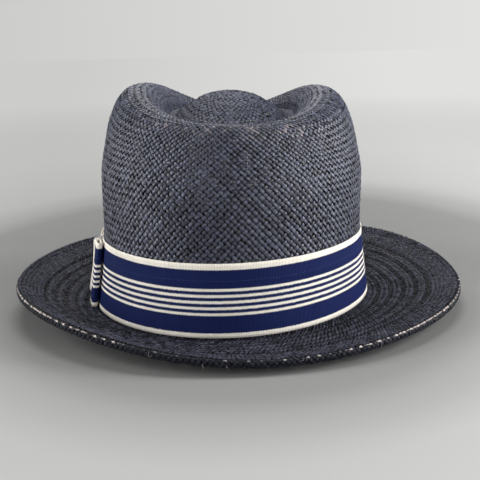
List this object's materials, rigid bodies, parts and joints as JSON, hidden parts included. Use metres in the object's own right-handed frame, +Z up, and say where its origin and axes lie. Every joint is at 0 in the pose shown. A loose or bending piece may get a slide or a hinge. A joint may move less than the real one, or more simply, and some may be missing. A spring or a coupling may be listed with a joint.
{
  "type": "straw fedora hat",
  "caption": "Woven straw fedora with a teardrop crown, an almost flat brim, a striped grosgrain ribbon with a flat side bow, and a leather sweatband inside.",
  "frame": {"origin": "middle of the brim's outline, on the surface that the hat stands on", "axes": "+Z up, -Y towards the front of the hat, +X towards the wearer's left, where the bow is"},
  "size_m": [0.28, 0.314, 0.1386],
  "materials": {
    "straw": "dyed navy straw, satin, plain weave",
    "straw_edge": "dyed navy straw woven back on itself, worn pale along its upper corner",
    "ribbon": "navy ribbed grosgrain with cream edges and five narrow cream stripes",
    "sweatband_leather": "dark brown, smooth, fine grain",
    "tape": "navy woven tape",
    "thread": "dark waxed thread",
    "lining_ribbon": "navy satin ribbon"
  },
  "bodies": {
    "root": {"straw_body": "straw", "rim_edge": "straw_edge", "ribbon_band": "ribbon", "bow_back_loop": "ribbon", "bow_front_loop": "ribbon", "bow_knot": "ribbon", "sweatband": "sweatband_leather", "sweatband_tape": "tape", "sweatband_stitching": "thread", "sweatband_bow": "lining_ribbon", "sweatband_bow_knot": "lining_ribbon"}
  },
  "joints": []
}
